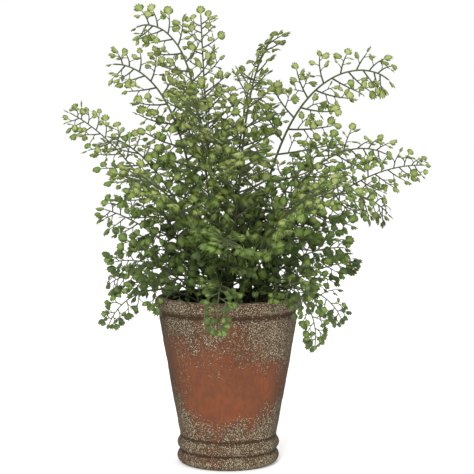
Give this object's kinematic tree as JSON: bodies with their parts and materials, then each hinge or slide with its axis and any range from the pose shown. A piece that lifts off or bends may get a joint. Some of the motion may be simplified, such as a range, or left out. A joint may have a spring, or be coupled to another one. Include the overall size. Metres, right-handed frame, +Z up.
{
  "type": "potted fern",
  "caption": "Maidenhair fern of arching, many-lobed fronds rising from a short rhizome in a tapered, banded clay pot with a rolled rim.",
  "frame": {"origin": "middle of the pot's flat base, on the surface that it stands on", "axes": "+Z up the pot's axis; the pot's front faces -Y, and +X is to the right of someone who looks at the front"},
  "size_m": [0.3817, 0.3229, 0.4895],
  "materials": {
    "terracotta": "unglazed clay, aged, with a pale mineral bloom",
    "soil": "loose dark potting soil",
    "rhizome": "rough and scaly",
    "stalk": "smooth, wiry, slightly shiny",
    "leaf": "thin, satin"
  },
  "bodies": {
    "root": {"pot": "terracotta", "soil": "soil", "rhizome": "rhizome", "frond_01_stalk": "stalk", "frond_01_blade": "leaf", "frond_02_stalk": "stalk", "frond_02_blade": "leaf", "frond_03_stalk": "stalk", "frond_03_blade": "leaf", "frond_04_stalk": "stalk", "frond_04_blade": "leaf", "frond_05_stalk": "stalk", "frond_05_blade": "leaf", "frond_06_stalk": "stalk", "frond_06_blade": "leaf", "frond_07_stalk": "stalk", "frond_07_blade": "leaf", "frond_08_stalk": "stalk", "frond_08_blade": "leaf", "frond_09_stalk": "stalk", "frond_09_blade": "leaf", "frond_10_stalk": "stalk", "frond_10_blade": "leaf", "frond_11_stalk": "stalk", "frond_11_blade": "leaf", "frond_12_stalk": "stalk", "frond_12_blade": "leaf", "frond_13_stalk": "stalk", "frond_13_blade": "leaf", "frond_14_stalk": "stalk", "frond_14_blade": "leaf", "frond_15_stalk": "stalk", "frond_15_blade": "leaf", "frond_16_stalk": "stalk", "frond_16_blade": "leaf", "frond_17_stalk": "stalk", "frond_17_blade": "leaf", "frond_18_stalk": "stalk", "frond_18_blade": "leaf", "frond_19_stalk": "stalk", "frond_19_blade": "leaf", "frond_20_stalk": "stalk", "frond_20_blade": "leaf", "frond_21_stalk": "stalk", "frond_21_blade": "leaf", "frond_22_stalk": "stalk", "frond_22_blade": "leaf", "frond_23_stalk": "stalk", "frond_23_blade": "leaf", "frond_24_stalk": "stalk", "frond_24_blade": "leaf", "frond_25_stalk": "stalk", "frond_25_blade": "leaf", "frond_26_stalk": "stalk", "frond_26_blade": "leaf", "frond_27_stalk": "stalk", "frond_27_blade": "leaf", "frond_28_stalk": "stalk", "frond_28_blade": "leaf"}
  },
  "joints": []
}
